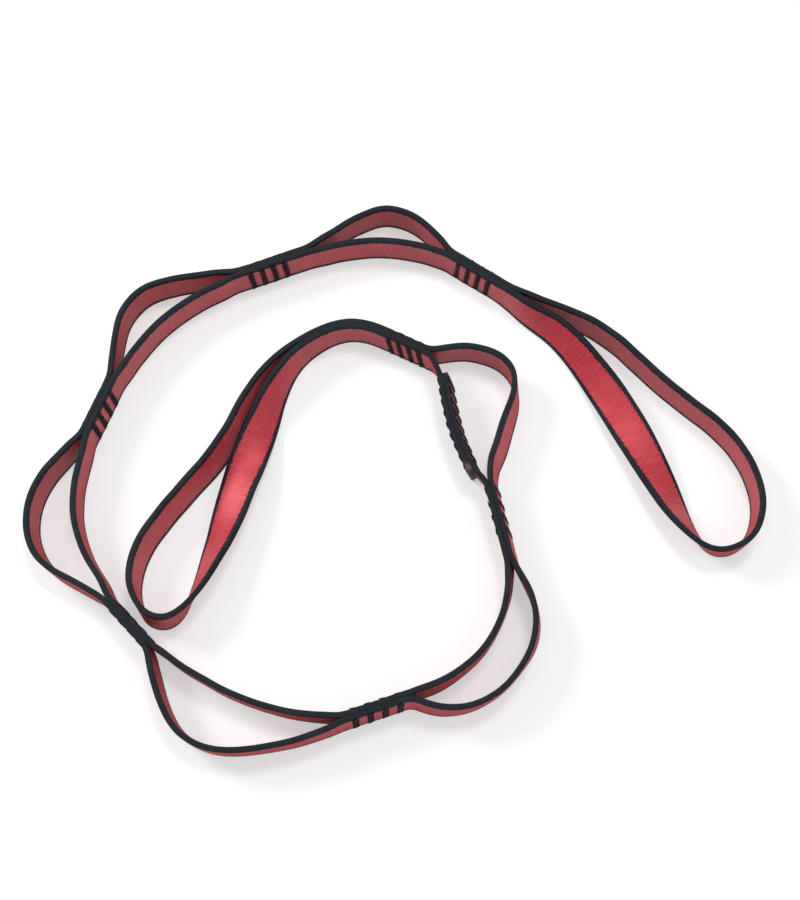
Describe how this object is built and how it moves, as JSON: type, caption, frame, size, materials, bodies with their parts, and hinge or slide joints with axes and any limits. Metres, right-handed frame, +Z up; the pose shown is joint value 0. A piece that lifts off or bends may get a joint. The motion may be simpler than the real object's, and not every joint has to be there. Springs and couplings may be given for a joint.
{
  "type": "hammock extension strap",
  "caption": "Daisy chain of flat webbing sewn double, with clip-in pockets along it and a long loop at each end, laid in a loose curl.",
  "frame": {"origin": "middle of the laid strap's outline in plan, at the surface it stands on", "axes": "+Z up, across the webbing's width, with +X towards the free end loop and +Y towards the far side in the picture"},
  "size_m": [0.3064, 0.241, 0.0161],
  "materials": {
    "webbing": "woven nylon, satin, with black selvedges",
    "thread": "matt sewing thread"
  },
  "bodies": {
    "root": {"webbing": "webbing", "tack_a_1": "thread", "tack_a_2": "thread", "tack_a_3": "thread", "tack_a_4": "thread", "tack_b_1": "thread", "tack_b_2": "thread", "tack_b_3": "thread", "tack_b_4": "thread", "tack_c_1": "thread", "tack_c_2": "thread", "tack_c_3": "thread", "tack_c_4": "thread", "tack_d_1": "thread", "tack_d_2": "thread", "tack_d_3": "thread", "tack_d_4": "thread", "tack_e_1": "thread", "tack_e_2": "thread", "tack_e_3": "thread", "tack_e_4": "thread", "tack_f_1": "thread", "tack_f_2": "thread", "tack_f_3": "thread", "tack_f_4": "thread", "tack_g_1": "thread", "tack_g_2": "thread", "tack_g_3": "thread", "tack_g_4": "thread", "splice_tack_1": "thread", "splice_tack_2": "thread", "splice_tack_3": "thread", "splice_tack_4": "thread", "splice_tack_5": "thread", "splice_tack_6": "thread", "splice_tack_7": "thread", "splice_tack_8": "thread", "splice_tack_9": "thread"}
  },
  "joints": []
}
